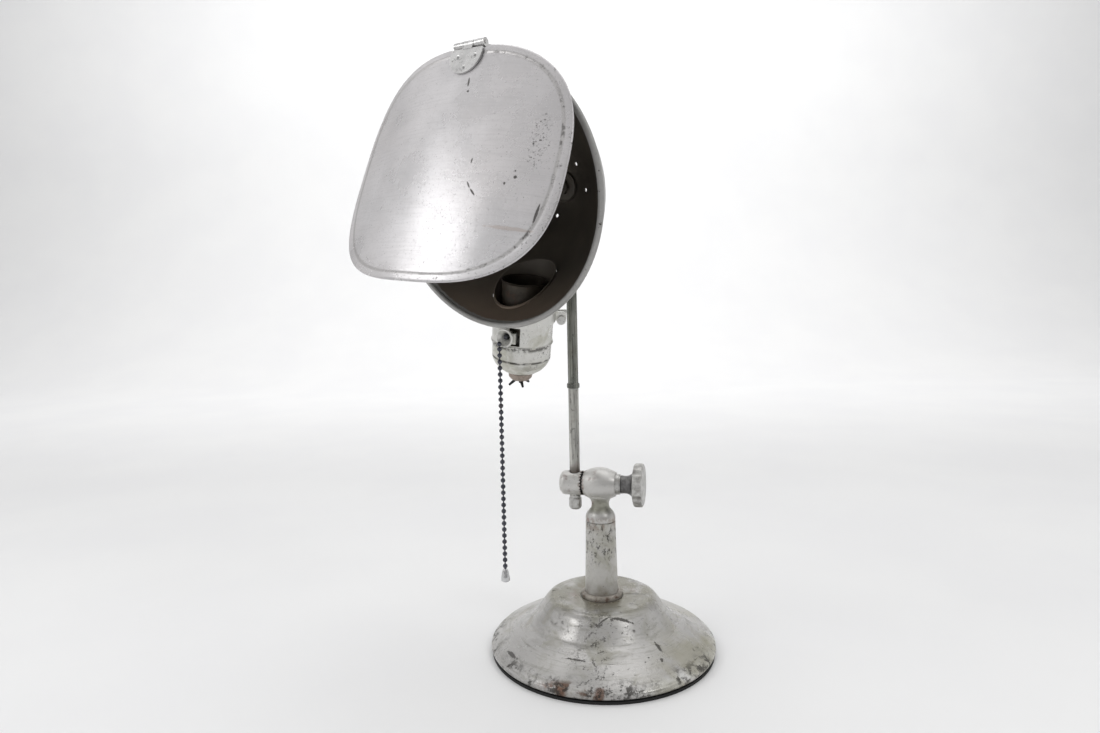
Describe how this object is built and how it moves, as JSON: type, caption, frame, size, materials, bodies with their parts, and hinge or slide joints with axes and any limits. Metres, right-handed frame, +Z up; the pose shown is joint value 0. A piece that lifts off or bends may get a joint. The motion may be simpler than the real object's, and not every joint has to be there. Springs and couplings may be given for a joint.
{
  "type": "examination_lamp",
  "caption": "Table examination lamp: weighted round base, clamped sliding rod, tilting bowl reflector with pull-chain lampholder and hinged front flap",
  "frame": {"origin": "centre of the base's underside, on the table", "axes": "+Z up along the post, +X along the clamp's cross axis from the rod to the knob, bowl facing roughly -Y"},
  "size_m": [0.2049, 0.2192, 0.3748],
  "materials": {
    "cover_paint": "worn",
    "weight_iron": "rough",
    "pad_rubber": "matte",
    "plated_steel": "worn",
    "dark_steel": "worn",
    "bowl_metal": "satin",
    "brass_part": "dull",
    "dark_plastic": "matte",
    "fibre": "matte",
    "wire_rubber": "matte"
  },
  "bodies": {
    "stand": {"base_shell": "cover_paint", "base_weight": "weight_iron", "base_pad": "pad_rubber", "post_tube": "cover_paint", "foot_ring": "plated_steel", "tie_rod": "plated_steel", "tie_washer": "plated_steel", "tie_nut": "plated_steel", "post_spigot": "plated_steel"},
    "head": {"swivel_head": "cover_paint", "clamp_washer": "plated_steel"},
    "barrel": {"clamp_barrel": "cover_paint", "draw_bolt": "dark_steel"},
    "knob": {"clamp_knob": "dark_steel"},
    "rod_low": {"lower_rod": "plated_steel", "joint_ring": "plated_steel", "rod_end_cap": "plated_steel"},
    "rod_high": {"upper_rod": "dark_steel", "rod_eye": "plated_steel"},
    "bracket": {"tilt_screw": "plated_steel", "tilt_nut": "plated_steel", "bowl_bracket": "plated_steel", "bowl_stud": "plated_steel", "stud_nut": "plated_steel"},
    "bowl": {"dished_washer": "plated_steel", "bowl_shell": "bowl_metal", "neck_collar": "bowl_metal", "collar_screw": "plated_steel", "socket_shell": "bowl_metal", "socket_liner": "fibre", "socket_cap": "bowl_metal", "cap_bushing": "dark_plastic", "wire_stubs": "wire_rubber", "lamp_holder": "dark_plastic", "screw_shell": "brass_part", "centre_contact": "brass_part", "bell_mouth": "plated_steel", "switch_block": "plated_steel", "hinge_leaf_bowl": "plated_steel", "hinge_pin": "plated_steel", "bowl_rivets": "bowl_metal"},
    "flap": {"flap_plate": "bowl_metal", "hinge_leaf_flap": "plated_steel", "flap_rivets": "bowl_metal"},
    "lead": {"chain_lead": "dark_steel"},
    "link": {"chain_link": "dark_steel"},
    "chain": {"ball_chain": "dark_steel", "bell_pull": "dark_steel"}
  },
  "joints": [
    {"name": "head_swivel", "type": "hinge", "parent": "stand", "child": "head", "pos_m": [0, 0, 0.0876], "axis": [0, 0, 1], "range_deg": [-170, 170]},
    {"name": "arm_tilt", "type": "hinge", "parent": "head", "child": "barrel", "pos_m": [0, 0, 0.1128], "axis": [-1, 0, 0], "range_deg": [-25, 25]},
    {"name": "knob_turn", "type": "hinge", "parent": "barrel", "child": "knob", "pos_m": [0.02, 0, 0.1128], "axis": [1, 0, 0], "range_deg": [0, 360]},
    {"name": "rod_slide", "type": "slide", "parent": "barrel", "child": "rod_low", "axis": [0, 0, 1], "range_m": [-0.045, 0]},
    {"name": "rod_turn", "type": "hinge", "parent": "rod_low", "child": "rod_high", "pos_m": [-0.0173, 0, 0.1815], "axis": [0, 0, 1], "range_deg": [-110, 110]},
    {"name": "bowl_tilt", "type": "hinge", "parent": "rod_high", "child": "bracket", "pos_m": [-0.0173, 0, 0.3123], "axis": [0.9323, -0.3616, 0], "range_deg": [-35, 6]},
    {"name": "bowl_spin", "type": "hinge", "parent": "bracket", "child": "bowl", "pos_m": [-0.01769, -0.00931, 0.31054], "axis": [-0.3546, -0.9143, -0.1959], "range_deg": [-30, 30]},
    {"name": "flap_swing", "type": "hinge", "parent": "bowl", "child": "flap", "pos_m": [-0.04656, -0.09931, 0.37184], "axis": [-0.935, 0.3476, 0.0701], "range_deg": [-6, 75]},
    {"name": "switch_pull", "type": "slide", "parent": "bowl", "child": "lead", "axis": [-0.2144, -0.9497, -0.2281], "range_m": [0, 0.008], "stiffness_N_per_m": 400},
    {"name": "chain_swing", "type": "hinge", "parent": "bowl", "child": "link", "pos_m": [-0.0504, -0.0549, 0.2106], "axis": [-0.9323, 0.3616, 0], "range_deg": [-20, 20]},
    {"name": "chain_drop", "type": "slide", "parent": "link", "child": "chain", "axis": [0, 0, -1], "range_m": [0, 0.008]}
  ],
  "couplings": [
    {"joint": "chain_drop", "follows": "switch_pull", "ratio": 1}
  ]
}
